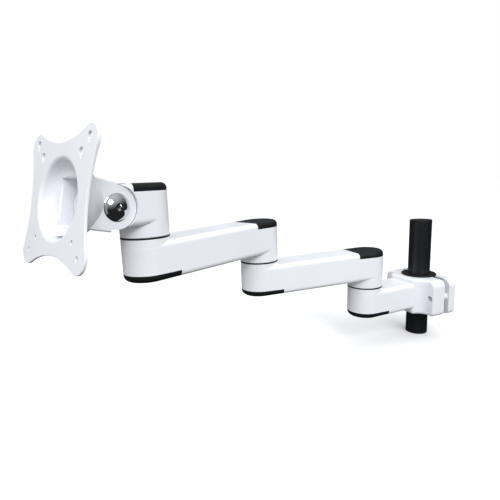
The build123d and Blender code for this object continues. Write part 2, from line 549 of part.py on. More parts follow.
def build():
    """Every node in its place at rest."""
    split_z = [POLE_BELOW + LEVEL * n for n in range(3)]
    shoulder = (-SHOULDER_REACH, 0.0)
    rear, front = radians(REAR_ARM_TURN), radians(FRONT_ARM_TURN)
    elbow = (shoulder[0] - ARM_SPACING * cos(rear), shoulder[1] - ARM_SPACING * sin(rear))
    wrist = (elbow[0] - ARM_SPACING * cos(front), elbow[1] - ARM_SPACING * sin(front))
    at_pole = Pos(0, 0, POLE_BELOW)
    at_shoulder = Pos(shoulder[0], shoulder[1], split_z[0])
    at_elbow = Pos(elbow[0], elbow[1], split_z[1]) * Rot(0, 0, REAR_ARM_TURN)
    at_wrist = Pos(wrist[0], wrist[1], split_z[2])
    at_front = at_wrist * Rot(0, 0, FRONT_ARM_TURN)
    at_head = at_wrist * Rot(0, 0, HEAD_TURN)
    at_tilt = at_head * Pos(TILT_REACH, 0, TILT_HEIGHT)
    # local Z becomes the plate's outward normal, local X its up direction
    at_plate = at_tilt * Rot(0, -SCREEN_TILT, 0) * Pos(PLATE_REACH, 0, 0) * Rot(0, 90, 0) * Rot(0, 0, 180)

    nodes = {}
    nodes["pole_tube"], nodes["pole_top_cap"] = pole_parts()
    liner_front, liner_rear = liner_halves()
    nodes["liner_front_half"] = at_pole * liner_front
    nodes["liner_rear_half"] = at_pole * liner_rear
    clamp, clamp_cover = clamp_arm_parts()
    nodes["clamp_arm"] = at_shoulder * clamp
    nodes["clamp_arm_bottom_cover"] = at_shoulder * clamp_cover
    nodes["clamp_rear_jaw"] = at_pole * rear_jaw()
    nodes["jaw_gap_strips"] = at_pole * gap_strips()
    nodes["clamp_screws"] = at_pole * clamp_screws()
    casting, cap, cover = arm_parts()
    for name, place in (("rear_arm", at_elbow), ("front_arm", at_front)):
        nodes[name] = place * casting
        nodes[name + "_top_cap"] = place * cap
        nodes[name + "_bottom_cover"] = place * cover
    head, head_cap = head_casting()
    nodes["swivel_head"] = at_head * head
    nodes["head_top_cap"] = at_head * head_cap
    above, below = swivel_hardware()
    for joint, place in (("shoulder", at_shoulder), ("elbow", at_elbow), ("wrist", at_front)):
        for piece, solid in {**above, **below}.items():
            nodes[joint + "_" + piece] = place * solid
    nodes["screen_plate"] = at_plate * screen_plate()
    nodes["tilt_bolt"] = at_tilt * tilt_bolt()
    for piece, solid in tilt_stack().items():
        nodes[piece] = at_tilt * solid
    return nodes


os.makedirs("parts", exist_ok=True)
for node, solid in build().items():
    export_step(solid, "parts/" + node + ".step")
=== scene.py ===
import json
from math import cos, pi, radians, sin, sqrt

import bmesh
import bpy
from mathutils import Matrix, Vector


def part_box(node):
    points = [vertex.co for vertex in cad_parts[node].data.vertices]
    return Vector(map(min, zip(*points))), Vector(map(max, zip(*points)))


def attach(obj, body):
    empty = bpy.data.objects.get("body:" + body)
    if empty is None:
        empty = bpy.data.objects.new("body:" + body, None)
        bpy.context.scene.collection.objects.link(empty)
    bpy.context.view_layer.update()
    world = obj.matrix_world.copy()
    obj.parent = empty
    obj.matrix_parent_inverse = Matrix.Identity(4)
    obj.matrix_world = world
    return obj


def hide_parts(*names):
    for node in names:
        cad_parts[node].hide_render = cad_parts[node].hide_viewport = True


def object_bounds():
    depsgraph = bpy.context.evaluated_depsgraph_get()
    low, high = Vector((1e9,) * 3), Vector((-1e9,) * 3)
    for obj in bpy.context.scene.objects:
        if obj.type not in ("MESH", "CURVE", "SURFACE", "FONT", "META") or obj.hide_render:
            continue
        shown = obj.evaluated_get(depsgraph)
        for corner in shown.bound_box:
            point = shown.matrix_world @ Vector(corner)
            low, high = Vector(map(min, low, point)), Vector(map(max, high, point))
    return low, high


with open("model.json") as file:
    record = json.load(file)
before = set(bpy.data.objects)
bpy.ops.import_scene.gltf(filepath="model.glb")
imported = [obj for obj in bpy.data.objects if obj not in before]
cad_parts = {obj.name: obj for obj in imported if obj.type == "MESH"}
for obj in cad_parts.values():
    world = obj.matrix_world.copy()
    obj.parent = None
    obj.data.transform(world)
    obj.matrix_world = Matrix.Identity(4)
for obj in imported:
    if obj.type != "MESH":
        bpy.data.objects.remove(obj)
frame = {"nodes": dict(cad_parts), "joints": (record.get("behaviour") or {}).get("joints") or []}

bl_info = {
    "name": "Pole Clamp Monitor Arm",
    "version": (1, 0, 0),
    "blender": (4, 5, 0),
    "location": "View3D > Sidebar > Monitor Arm",
    "description": "Finishes, fasteners and studio for a pole-clamped monitor arm",
    "category": "Object",
}

CAD_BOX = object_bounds()
JOINTS = {joint["name"]: joint for joint in frame["joints"]}
MM = 0.001
AROUND = 96                    # segments round a turned piece, a multiple of twelve for the hexagons' corners
SHARP_ANGLE = radians(32)      # edges of turned pieces that bend more than this stay sharp
SWIVEL_BODY = {"shoulder": "rear_link", "elbow": "front_link", "wrist": "head"}

THREAD_DEPTH = 0.55            # from a shank down to its thread's core, in pitches
THREAD_RIDGE = 0.42            # radius of a thread's rounded ridge, in pitches
THREAD_STEPS = 40              # points on one turn of a thread
RIDGE_SIDES = 6                # sides of the ridges on threads and knurls
DOME_STEPS = 26                # rings from the rim of a dome to its socket
EDGE_STEPS = 4                 # rings on a rounded rim

PATTERN_LOW, PATTERN_HIGH = 0.3, 0.7   # most of a pattern's values lie between these
MIX_FACTOR, MIX_FROM, MIX_TO = 0, 6, 7  # colour sockets of a Mix node, whose names repeat
MIXED = 2


def linear(code):
    """Linear colour of an sRGB hex code."""
    channels = [int(code[i:i + 2], 16) / 255 for i in (0, 2, 4)]
    return tuple(c / 12.92 if c <= 0.04045 else ((c + 0.055) / 1.055) ** 2.4 for c in channels)


def colour(code, label):
    """Colour setting that starts from an sRGB hex code."""
    return bpy.props.FloatVectorProperty(
        name=label, description="Colour of the " + label.lower(), default=linear(code), subtype="COLOR",
        size=3, min=0, max=1,
    )


def length(label, millimetres, note):
    """Length setting that starts from a size in millimetres."""
    return bpy.props.FloatProperty(
        name=label, description=note, default=millimetres * MM, min=0, unit="LENGTH",
    )


# ------------------------------------------------------------------ settings

class FinishSettings(bpy.types.PropertyGroup):
    """Colours and grain sizes of the finishes."""

    white_coat: colour("ECEEF3", "White powder coat")
    black_moulding: colour("141518", "Black mouldings")
    pole_coat: colour("18191D", "Pole coat")
    acetal: colour("202124", "Acetal")
    chrome: colour("E4E6EA", "Chrome")
    zinc: colour("C3C6C8", "Zinc plate")
    spring: colour("3B3A3A", "Spring steel")
    nylon: colour("D9DCE3", "Nylon insert")
    peel_size: length("Orange peel", 2.4, "Size of the soft waves in the powder coat")
    spark_size: length("Spark grain", 0.45, "Grain that the mould leaves on the black mouldings")


class FastenerSettings(bpy.types.PropertyGroup):
    """Sizes of the bolts, nuts and screws."""

    pivot_radius: length("Pivot bolt radius", 6.0, "Shank of the swivel bolts")
    pivot_pitch: length("Pivot thread pitch", 1.75, "Thread pitch of the swivel bolts")
    pivot_flats: length("Pivot hexagon", 9.5, "Centre to flat on the swivel bolts and nuts")
    pivot_head: length("Pivot head height", 7.5, "Height of the hexagon head")
    tilt_radius: length("Tilt bolt radius", 5.0, "Shank of the tilt bolt")
    tilt_pitch: length("Tilt thread pitch", 1.5, "Thread pitch of the tilt bolt")
    dome_radius: length("Dome radius", 13.9, "Radius of the tilt bolt's head")
    dome_height: length("Dome height", 6.5, "Height of the tilt bolt's head")
    dome_socket: length("Dome socket", 3.05, "Centre to flat of the tilt bolt's socket")
    dome_socket_depth: length("Dome socket depth", 4.0, "Top of the dome to the floor of its socket")
    ear_reach: length("Ear reach", 24.0, "Tilt centre to the ear's outer face")
    tilt_washer: length("Tilt washer", 1.6, "Thickness of the washer under the tilt nut")
    tilt_nut_flats: length("Tilt nut hexagon", 8.66, "Centre to flat on the tilt nut")
    tilt_nut_height: length("Tilt nut height", 8.0, "Height of the tilt nut")
    tilt_tail: length("Tilt bolt tail", 11.6, "Tilt bolt past the ear's outer face")
    clamp_radius: length("Clamp screw radius", 4.0, "Shank of the clamp screws")
    clamp_pitch: length("Clamp thread pitch", 1.25, "Thread pitch of the clamp screws")
    clamp_thread: length("Clamp thread length", 22.0, "Threaded end of the clamp screws")
    clamp_head_radius: length("Clamp head radius", 6.5, "Radius of a socket head")
    clamp_head: length("Clamp head height", 8.0, "Height of a socket head")
    clamp_socket: length("Clamp socket", 3.1, "Centre to flat of a socket head's socket")
    clamp_socket_depth: length("Clamp socket depth", 4.5, "Depth of a socket head's socket")
    knurl_count: bpy.props.IntProperty(
        name="Knurl count", description="Ridges round a socket head", default=54, min=12, max=120,
    )


class StudioSettings(bpy.types.PropertyGroup):
    """Light and floor of the studio."""

    floor: colour("FBFBFB", "Floor")
    backdrop: colour("FFFFFF", "Backdrop")
    sky_tint: colour("FCFDFF", "Sky tint")
    sky: bpy.props.FloatProperty(name="Sky", description="Light from above", default=1.18, min=0)
    ground: bpy.props.FloatProperty(name="Ground", description="Light from below", default=0.16, min=0)
    gloss: bpy.props.FloatProperty(name="Gloss", description="Sky in reflections", default=0.62, min=0)
    key: bpy.props.FloatProperty(name="Key", description="Main lamp", default=24.5, min=0, unit="POWER")


class ArmSettings(bpy.types.PropertyGroup):
    """All settings of the arm."""

    finish: bpy.props.PointerProperty(type=FinishSettings)
    fastener: bpy.props.PointerProperty(type=FastenerSettings)
    studio: bpy.props.PointerProperty(type=StudioSettings)


def settings():
    return bpy.context.scene.monitor_arm


# ------------------------------------------------------------------ nodes

def add(tree, kind, inputs=None, **options):
    """Adds a node, sets its options, and fills or links its inputs."""
    node = tree.nodes.new(kind)
    for key, value in options.items():
        setattr(node, key, value)
    for key, value in (inputs or {}).items():
        if isinstance(value, bpy.types.NodeSocket):
            tree.links.new(value, node.inputs[key])
        else:
            node.inputs[key].default_value = value
    return node


def new_material(name, constants):
    """New material with the given shader values: itself, its tree, its shader and object coordinates."""
    material = bpy.data.materials.new(name)
    material.use_nodes = True
    tree = material.node_tree
    tree.nodes.clear()
    shader = add(tree, "ShaderNodeBsdfPrincipled", constants)
    add(tree, "ShaderNodeOutputMaterial", {"Surface": shader.outputs[0]})
    place = add(tree, "ShaderNodeTexCoord").outputs["Object"]
    return material, tree, shader, place


def tint(tree, shader, base, pattern, darkening, roughness=None):
    """Lets a pattern darken the base colour, and move the roughness where two values are given."""
    darker = tuple(channel * (1 - darkening) for channel in base)
    colours = {MIX_FACTOR: pattern, MIX_FROM: (*darker, 1), MIX_TO: (*base, 1)}
    tone = add(tree, "ShaderNodeMix", colours, data_type="RGBA")
    tree.links.new(tone.outputs[MIXED], shader.inputs["Base Color"])
    if roughness:
        sheen = add(tree, "ShaderNodeMapRange", {
            "Value": pattern, "From Min": PATTERN_LOW, "From Max": PATTERN_HIGH,
            "To Min": roughness[0], "To Max": roughness[1],
        })
        tree.links.new(sheen.outputs["Result"], shader.inputs["Roughness"])


def relieve(tree, shader, *layers):
    """Stacks layers of relief on the surface, each a pattern with its depth and its strength."""
    below = {}
    for pattern, depth, strength in layers:
        inputs = {"Height": pattern, "Distance": depth, "Strength": strength, **below}
        layer = add(tree, "ShaderNodeBump", inputs)
        below = {"Normal": layer.outputs["Normal"]}
    tree.links.new(below["Normal"], shader.inputs["Normal"])


# ------------------------------------------------------------------ finishes

def powder_coat(name, base, peel_size):
    """Powder coat on die-cast aluminium: satin, with soft orange-peel waves and a faint sparkle of grain."""
    grain_size = 0.6 * MM      # the real grain is near 0.1 mm, drawn coarser so that it shows
    cloud_size = 38 * MM
    satin = {"IOR": 1.5, "Coat Weight": 0.12, "Coat Roughness": 0.22}
    material, tree, shader, place = new_material(name, satin)
    waves = add(
        tree, "ShaderNodeTexNoise", {"Vector": place, "Scale": 1 / peel_size, "Detail": 1},
    ).outputs["Fac"]
    grain = add(
        tree, "ShaderNodeTexNoise", {"Vector": place, "Scale": 1 / grain_size, "Detail": 2},
    ).outputs["Fac"]
    clouds = add(
        tree, "ShaderNodeTexNoise", {"Vector": place, "Scale": 1 / cloud_size, "Detail": 3},
    ).outputs["Fac"]
    tint(tree, shader, base, clouds, darkening=0.035, roughness=(0.32, 0.41))
    relieve(tree, shader, (waves, 0.05 * MM, 0.55), (grain, 0.012 * MM, 0.4))
    return material


def spark_moulding(name, base, grain_size):
    """Glass-filled nylon from a spark-eroded mould: dull, with a fine even grain."""
    fine_size = 0.6 * grain_size
    flow_size = 22 * MM
    material, tree, shader, place = new_material(name, {"IOR": 1.5, "Specular IOR Level": 0.4})
    cells = add(tree, "ShaderNodeTexVoronoi", {"Vector": place, "Scale": 1 / grain_size}).outputs["Distance"]
    fine = add(
        tree, "ShaderNodeTexNoise", {"Vector": place, "Scale": 1 / fine_size, "Detail": 3},
    ).outputs["Fac"]
    flow = add(
        tree, "ShaderNodeTexNoise", {"Vector": place, "Scale": 1 / flow_size, "Detail": 3},
    ).outputs["Fac"]
    tint(tree, shader, base, flow, darkening=0.22, roughness=(0.48, 0.60))
    relieve(tree, shader, (cells, 0.03 * MM, 0.6), (fine, 0.015 * MM, 0.6))
    return material


def rubbed_pole_coat(name, base):
    """Black powder coat on steel tube: satin, with faint upright scuffs where a clamp has slid."""
    scuff_size, wave_size = 1.6 * MM, 2 * MM
    material, tree, shader, place = new_material(name, {"IOR": 1.5})
    upright = add(tree, "ShaderNodeMapping", {"Vector": place, "Scale": (1, 1, 0.06)}).outputs["Vector"]
    scuffs = add(
        tree, "ShaderNodeTexNoise", {"Vector": upright, "Scale": 1 / scuff_size, "Detail": 3},
    ).outputs["Fac"]
    waves = add(
        tree, "ShaderNodeTexNoise", {"Vector": place, "Scale": 1 / wave_size, "Detail": 1},
    ).outputs["Fac"]
    tint(tree, shader, base, scuffs, darkening=0.25, roughness=(0.30, 0.42))
    relieve(tree, shader, (waves, 0.04 * MM, 0.5))
    return material


def turned_acetal(name, base):
    """Acetal turned from bar: fine rings left by the tool, and the dull sheen of bearing plastic."""
    ring_size, cloud_size = 3 * MM, 6 * MM
    material, tree, shader, place = new_material(name, {"IOR": 1.48})
    rings = add(
        tree, "ShaderNodeTexWave", {"Vector": place, "Scale": 1 / ring_size, "Distortion": 0.6, "Detail": 2},
        wave_type="BANDS", bands_direction="Z",
    ).outputs["Fac"]
    cloud = add(
        tree, "ShaderNodeTexNoise", {"Vector": place, "Scale": 1 / cloud_size, "Detail": 2},
    ).outputs["Fac"]
    tint(tree, shader, base, cloud, darkening=0.15, roughness=(0.34, 0.44))
    relieve(tree, shader, (rings, 0.02 * MM, 0.4))
    return material


def bright_chrome(name, base):
    """Bright chrome plate over polished steel: a mirror with the faintest hairlines and finger haze."""
    haze_size, hairline_size = 5 * MM, 4 * MM
    material, tree, shader, place = new_material(name, {"Metallic": 1})
    haze = add(
        tree, "ShaderNodeTexNoise", {"Vector": place, "Scale": 1 / haze_size, "Detail": 3},
    ).outputs["Fac"]
    drawn = add(tree, "ShaderNodeMapping", {"Vector": place, "Scale": (1, 14, 1)}).outputs["Vector"]
    lines = add(
        tree, "ShaderNodeTexNoise", {"Vector": drawn, "Scale": 1 / hairline_size, "Detail": 2},
    ).outputs["Fac"]
    tint(tree, shader, base, haze, darkening=0.05, roughness=(0.045, 0.11))
    relieve(tree, shader, (lines, 0.004 * MM, 0.3))
    return material


def zinc_plate(name, base):
    """Zinc plate on turned steel: silver grey, a little cloudy, with fine turning marks."""
    cloud_size, mark_size = 4 * MM, 2.5 * MM
    material, tree, shader, place = new_material(name, {"Metallic": 1})
    cloud = add(
        tree, "ShaderNodeTexNoise", {"Vector": place, "Scale": 1 / cloud_size, "Detail": 3},
    ).outputs["Fac"]
    turned = add(tree, "ShaderNodeMapping", {"Vector": place, "Scale": (1, 1, 9)}).outputs["Vector"]
    marks = add(
        tree, "ShaderNodeTexNoise", {"Vector": turned, "Scale": 1 / mark_size, "Detail": 2},
    ).outputs["Fac"]
    tint(tree, shader, base, cloud, darkening=0.18, roughness=(0.24, 0.38))
    relieve(tree, shader, (marks, 0.02 * MM, 0.4))
    return material


def oiled_spring_steel(name, base):
    """Hardened spring steel, oiled: dark brown-grey metal with an uneven film of oil."""
    film_size = 3 * MM
    material, tree, shader, place = new_material(name, {"Metallic": 0.9})
    film = add(
        tree, "ShaderNodeTexNoise", {"Vector": place, "Scale": 1 / film_size, "Detail": 3},
    ).outputs["Fac"]
    tint(tree, shader, base, film, darkening=0.3, roughness=(0.28, 0.48))
    return material


def seamless_paper(name, base):
    """Studio background paper: matte, with the faintest fibre."""
    fibre_size = 3 * MM
    material, tree, shader, place = new_material(name, {"Roughness": 0.95, "Specular IOR Level": 0.1})
    fibre = add(
        tree, "ShaderNodeTexNoise", {"Vector": place, "Scale": 1 / fibre_size, "Detail": 4},
    ).outputs["Fac"]
    tint(tree, shader, base, fibre, darkening=0.015)
    return material


FINISHES = {}


def finish(name):
    """The named finish, made once."""
    if not FINISHES:
        look = settings().finish
        FINISHES.update(
            white_coat=powder_coat("white_powder_coat_on_die_casting", look.white_coat, look.peel_size),
            black_moulding=spark_moulding("spark_textured_black_nylon", look.black_moulding, look.spark_size),
            pole_coat=rubbed_pole_coat("black_powder_coat_on_steel_tube", look.pole_coat),
            acetal=turned_acetal("turned_black_acetal", look.acetal),
            chrome=bright_chrome("bright_chrome_plate", look.chrome),
            zinc=zinc_plate("zinc_plated_steel", look.zinc),
            spring=oiled_spring_steel("oiled_spring_steel", look.spring),
            nylon=spark_moulding("white_nylon_insert", look.nylon, look.spark_size),
        )
    return FINISHES[name]


def coat_node(node, name):
    """Puts one finish on a CAD node."""
    mesh = frame["nodes"][node].data
    mesh.materials.clear()
    mesh.materials.append(finish(name))


# ------------------------------------------------------------------ turned pieces

def round_ring(radius):
    return lambda angle: radius


def corner_of(flats):
    """Centre to corner of a hexagon from its centre to flat."""
    return flats / cos(pi / 6)


def hexagon_ring(flats, limit):
    """Ring that follows a hexagon with its corners cut back to the limit radius."""
    def radius(angle):
        off = (angle + pi / 6) % (pi / 3) - pi / 6
        return min(limit, flats / cos(off))
    return radius


def turn(mesh_data, rings, material_index=0):
    """Adds a turned solid. A ring is a height and a function from angle to radius, or None for a point."""
    loops = []
    for height, ring in rings:
        if ring is None:
            loops.append([mesh_data.verts.new((0, 0, height))])
            continue
        circle = []
        for step in range(AROUND):
            angle = 2 * pi * step / AROUND
            radius = ring(angle)
            circle.append(mesh_data.verts.new((radius * cos(angle), radius * sin(angle), height)))
        loops.append(circle)
    for lower, upper in zip(loops, loops[1:]):
        for step in range(AROUND):
            after = (step + 1) % AROUND
            if len(lower) == 1:
                corners = (lower[0], upper[after], upper[step])
            elif len(upper) == 1:
                corners = (lower[step], lower[after], upper[0])
            else:
                corners = (lower[step], lower[after], upper[after], upper[step])
            mesh_data.faces.new(corners).material_index = material_index


def rounded_rim(radius, height, width, rise):
    """Rings that round an edge: out by the width while they climb by the rise."""
    rings = []
    for step in range(1, EDGE_STEPS + 1):
        angle = pi / 2 * step / EDGE_STEPS
        rings.append((height + rise * (1 - cos(angle)), round_ring(radius + width * sin(angle))))
    return rings


def made_piece(name, mesh_data, materials, place, body, replaced):
    """Turns a bmesh into a finished piece in its place, riding on its body instead of the CAD node."""
    bmesh.ops.recalc_face_normals(mesh_data, faces=mesh_data.faces)
    mesh = bpy.data.meshes.new(name)
    mesh_data.to_mesh(mesh)
    mesh_data.free()
    mesh.transform(place)
    mesh.shade_smooth()
    mesh.set_sharp_from_angle(angle=SHARP_ANGLE)
    for material in materials:
        mesh.materials.append(material)
    piece = bpy.data.objects.new(name, mesh)
    bpy.context.scene.collection.objects.link(piece)
    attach(piece, body)
    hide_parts(replaced)


# ------------------------------------------------------------------ repeated shapes

def group_with(name, sockets):
    """New geometry tree with a geometry output, its group input and the named input sockets."""
    tree = bpy.data.node_groups.new(name, "GeometryNodeTree")
    tree.interface.new_socket("Geometry", in_out="OUTPUT", socket_type="NodeSocketGeometry")
    for label, kind, default in sockets:
        socket = tree.interface.new_socket(label, in_out="INPUT", socket_type=kind)
        if default is not None:
            socket.default_value = default
    return tree, add(tree, "NodeGroupInput").outputs


def end_group(tree, geometry, material):
    """Realises what the tree made, gives it its material and puts it out."""
    real = add(tree, "GeometryNodeRealizeInstances", {"Geometry": geometry}).outputs[0]
    coated = add(tree, "GeometryNodeSetMaterial", {"Geometry": real, "Material": material}).outputs[0]
    add(tree, "NodeGroupOutput", {"Geometry": coated})


def thread_tree():
    """A rolled thread: a rounded ridge that climbs a helix from z = 0."""
    tree, given = group_with("rolled_thread", (
        ("Radius", "NodeSocketFloat", 5 * MM),
        ("Pitch", "NodeSocketFloat", 1.5 * MM),
        ("Length", "NodeSocketFloat", 10 * MM),
        ("Material", "NodeSocketMaterial", None),
    ))
    turns = add(tree, "ShaderNodeMath", {0: given["Length"], 1: given["Pitch"]}, operation="DIVIDE")
    helix = add(tree, "GeometryNodeCurveSpiral", {
        "Resolution": THREAD_STEPS, "Rotations": turns.outputs[0], "Height": given["Length"],
        "Start Radius": given["Radius"], "End Radius": given["Radius"],
    }).outputs[0]
    ridge = add(tree, "ShaderNodeMath", {0: given["Pitch"], 1: THREAD_RIDGE}, operation="MULTIPLY").outputs[0]
    section = add(tree, "GeometryNodeCurvePrimitiveCircle", {
        "Resolution": RIDGE_SIDES, "Radius": ridge,
    }).outputs[0]
    swept = add(tree, "GeometryNodeCurveToMesh", {
        "Curve": helix, "Profile Curve": section, "Fill Caps": True,
    })
    end_group(tree, swept.outputs[0], given["Material"])
    return tree


def knurl_tree():
    """Straight knurl: thin upright ridges evenly round a circle."""
    tree, given = group_with("straight_knurl", (
        ("Radius", "NodeSocketFloat", 6 * MM),
        ("Count", "NodeSocketInt", 48),
        ("Height", "NodeSocketFloat", 6 * MM),
        ("Ridge", "NodeSocketFloat", 0.35 * MM),
        ("Material", "NodeSocketMaterial", None),
    ))
    circle = add(tree, "GeometryNodeMeshCircle", {
        "Vertices": given["Count"], "Radius": given["Radius"],
    }).outputs[0]
    ridge = add(tree, "GeometryNodeMeshCylinder", {
        "Vertices": RIDGE_SIDES, "Radius": given["Ridge"], "Depth": given["Height"],
    }).outputs[0]
    ridges = add(tree, "GeometryNodeInstanceOnPoints", {"Points": circle, "Instance": ridge}).outputs[0]
    end_group(tree, ridges, given["Material"])
    return tree


def grown(tree, values):
    """Plain mesh that a geometry tree makes with the given named inputs."""
    holder = bpy.data.objects.new("grown", bpy.data.meshes.new("grown"))
    bpy.context.scene.collection.objects.link(holder)
    modifier = holder.modifiers.new("grown", "NODES")
    modifier.node_group = tree
    for item in tree.interface.items_tree:
        if item.in_out == "INPUT" and item.name in values:
            modifier[item.identifier] = values[item.name]
    evaluated = holder.evaluated_get(bpy.context.evaluated_depsgraph_get())
    mesh = bpy.data.meshes.new_from_object(evaluated)
    bpy.data.objects.remove(holder)
    return mesh


def join_grown(mesh_data, tree, values, place):
    """Adds a grown shape to a piece's bmesh."""
    mesh = grown(tree, values)
    mesh.transform(place)
    mesh_data.from_mesh(mesh)
    bpy.data.meshes.remove(mesh)


# ------------------------------------------------------------------ places

def upright_place(joint):
    """Matrix to a swivel joint's axis at height zero."""
    x, y = joint["pos_m"][:2]
    return Matrix.Translation((x, y, 0))


def tilt_place():
    """Matrix whose Z runs along the tilt axis towards the dome, from the middle of the fork."""
    joint = JOINTS["screen_tilt"]
    along = -Vector(joint["axis"]).normalized()
    return Matrix.Translation(joint["pos_m"]) @ along.to_track_quat("Z", "X").to_matrix().to_4x4()


# ------------------------------------------------------------------ operators

class ARM_OT_castings(bpy.types.Operator):
    """Coats the die-cast arms, jaws, head and screen plate"""

    bl_idname = "monitor_arm.castings"
    bl_label = "Castings"

    def execute(self, context):
        for node in ("clamp_arm", "clamp_rear_jaw", "rear_arm", "front_arm", "swivel_head", "screen_plate"):
            coat_node(node, "white_coat")
        return {"FINISHED"}


class ARM_OT_mouldings(bpy.types.Operator):
    """Gives the caps, covers, liner and jaw strips their moulded grain; the black jaw strips are also painted
    shade in the jaw gap
    """

    bl_idname = "monitor_arm.mouldings"
    bl_label = "Mouldings"

    def execute(self, context):
        # jaw_gap_strips: black strips that fill the gap between the jaws, painted shade standing in for the
        # shade deep in that gap
        for node in (
            "clamp_arm_bottom_cover", "rear_arm_top_cap", "rear_arm_bottom_cover", "front_arm_top_cap",
            "front_arm_bottom_cover", "head_top_cap", "liner_front_half", "liner_rear_half", "pole_top_cap",
            "jaw_gap_strips",
        ):
            coat_node(node, "black_moulding")
        return {"FINISHED"}


class ARM_OT_pole(bpy.types.Operator):
    """Coats the pole"""

    bl_idname = "monitor_arm.pole"
    bl_label = "Pole"

    def execute(self, context):
        coat_node("pole_tube", "pole_coat")
        return {"FINISHED"}


class ARM_OT_bearings(bpy.types.Operator):
    """Finishes the rings, bushes, washers and springs of every joint"""

    bl_idname = "monitor_arm.bearings"
    bl_label = "Bearings"

    def execute(self, context):
        for joint in SWIVEL_BODY:
            coat_node(joint + "_friction_ring", "acetal")
            coat_node(joint + "_bush", "acetal")
            coat_node(joint + "_washers", "zinc")
            coat_node(joint + "_disc_springs", "spring")
        coat_node("tilt_bush", "acetal")
        coat_node("tilt_friction_washers", "acetal")
        coat_node("tilt_washer", "zinc")
        return {"FINISHED"}


class ARM_OT_pivot_bolts(bpy.types.Operator):
    """Makes the hexagon bolts and lock nuts of the swivel joints"""

    bl_idname = "monitor_arm.pivot_bolts"
    bl_label = "Pivot bolts"

    def execute(self, context):
        size = settings().fastener
        tree = thread_tree()
        for joint, body in SWIVEL_BODY.items():
            bolt_node, nut_node = joint + "_pivot_bolt", joint + "_lock_nut"
            place = upright_place(JOINTS[joint + "_swivel"])
            low, high = (corner.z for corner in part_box(bolt_node))
            nut_low, nut_high = (corner.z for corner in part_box(nut_node))
            bolt = hexagon_bolt(size, tree, low, high, nut_high)
            made_piece(joint + "_hexagon_bolt", bolt, [finish("zinc")], place, body, bolt_node)
            nut = lock_nut(size.pivot_flats, size.pivot_radius, nut_low, nut_high)
            coats = [finish("zinc"), finish("nylon")]
            made_piece(joint + "_nylon_lock_nut", nut, coats, place, body, nut_node)
        return {"FINISHED"}


def hexagon_bolt(size, tree, low, high, thread_top):
    """Hexagon bolt standing head up from low to high, threaded up to thread_top."""
    radius, flats = size.pivot_radius, size.pivot_flats
    core = radius - THREAD_DEPTH * size.pivot_pitch
    corner = corner_of(flats)
    head_low = high - size.pivot_head
    face = 0.3 * MM            # round washer face under the head
    chamfer = 0.8 * MM
    bolt = bmesh.new()
    turn(bolt, [
        (low, None), (low, round_ring(core - chamfer)), (low + chamfer, round_ring(core)),
        (thread_top, round_ring(core)), (thread_top + chamfer, round_ring(radius)),
        (head_low, round_ring(radius)), (head_low, round_ring(0.97 * flats)),
        (head_low + face, round_ring(0.98 * flats)), (head_low + face, hexagon_ring(flats, corner)),
        (high - 2 * chamfer, hexagon_ring(flats, corner)),
        (high - chamfer, hexagon_ring(flats, 0.945 * corner)),
        (high, hexagon_ring(0.99 * flats, 0.95 * flats)), (high, round_ring(0.6 * flats)), (high, None),
    ])
    values = {
        "Radius": core, "Pitch": size.pivot_pitch, "Length": thread_top - low - 2 * chamfer,
        "Material": finish("zinc"),
    }
    join_grown(bolt, tree, values, Matrix.Translation((0, 0, low + chamfer)))
    return bolt


def lock_nut(flats, shank, low, high):
    """Nylon-insert nut: hexagon next to the joint, and a collar that holds the nylon ring at the low end."""
    hole = shank + 0.05 * MM
    corner = corner_of(flats)
    collar = min(2.2 * MM, (high - low) / 3)
    seat, wall = 0.6 * MM, 0.9 * MM        # the recess that holds the nylon ring
    sunk = 0.3 * MM
    clear = 0.02 * MM
    bevel, chamfer = 0.5 * MM, 0.9 * MM
    nut = bmesh.new()
    turn(nut, [
        (low + seat, round_ring(hole + wall)), (low, round_ring(hole + 1.1 * MM)),
        (low, round_ring(0.80 * flats)), (low + bevel, round_ring(0.86 * flats)),
        (low + collar, round_ring(0.88 * flats)), (low + collar, hexagon_ring(flats, 0.99 * flats)),
        (low + collar + chamfer, hexagon_ring(flats, corner)), (high - chamfer, hexagon_ring(flats, corner)),
        (high, hexagon_ring(flats, 0.98 * flats)), (high, round_ring(hole + 0.4 * MM)),
        (high - bevel, round_ring(hole)), (low + seat, round_ring(hole)),
        (low + seat, round_ring(hole + wall)),
    ])
    turn(nut, [
        (low + seat + clear, round_ring(hole)), (low + sunk, round_ring(hole + 0.15 * MM)),
        (low + sunk, round_ring(hole + 0.7 * MM)), (low + seat + clear, round_ring(hole + wall - clear)),
        (low + seat + clear, round_ring(hole)),
    ], 1)
    bmesh.ops.remove_doubles(nut, verts=nut.verts, dist=1e-7)
    return nut


class ARM_OT_tilt_pivot(bpy.types.Operator):
    """Makes the dome-headed tilt bolt and its nut"""

    bl_idname = "monitor_arm.tilt_pivot"
    bl_label = "Tilt pivot"

    def execute(self, context):
        size = settings().fastener
        place = tilt_place()
        bolt = dome_bolt(size, thread_tree())
        made_piece("tilt_dome_bolt", bolt, [finish("chrome")], place, "screen_mount", "tilt_bolt")
        seat = -size.ear_reach - size.tilt_washer
        nut = lock_nut(size.tilt_nut_flats, size.tilt_radius, seat - size.tilt_nut_height, seat)
        coats = [finish("zinc"), finish("nylon")]
        made_piece("tilt_nylon_lock_nut", nut, coats, place, "screen_mount", "tilt_lock_nut")
        return {"FINISHED"}


